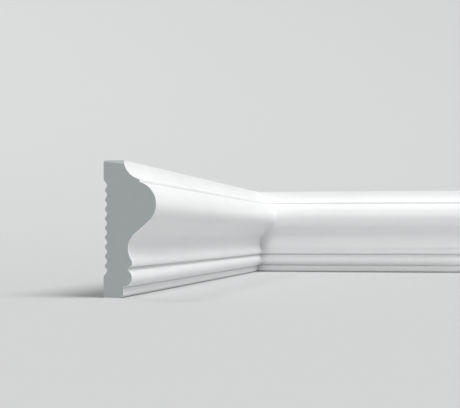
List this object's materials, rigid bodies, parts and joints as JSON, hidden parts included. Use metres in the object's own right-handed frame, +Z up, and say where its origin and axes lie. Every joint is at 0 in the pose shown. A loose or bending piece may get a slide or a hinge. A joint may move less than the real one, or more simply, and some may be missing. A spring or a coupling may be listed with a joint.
{
  "type": "wall moulding",
  "caption": "Wall moulding with a cove, an ovolo and hollow, and a bead, mitred round an inside corner, with a ribbed back for gluing and square cut ends.",
  "frame": {"origin": "centre of the bounding box in plan, on the plane of the underside", "axes": "+Z up; the left length runs along Y with its back to -X and its square end at -Y; the right length runs along X with its back to +Y and its square end at +X; the inside corner is at -X, +Y"},
  "size_m": [0.25, 0.57, 0.09],
  "materials": {
    "primed_moulding": "satin white primer over a dense grey foamed core that shows at the cut ends and the ribbed back"
  },
  "bodies": {
    "root": {"left_length": "primed_moulding", "right_length": "primed_moulding"}
  },
  "joints": []
}
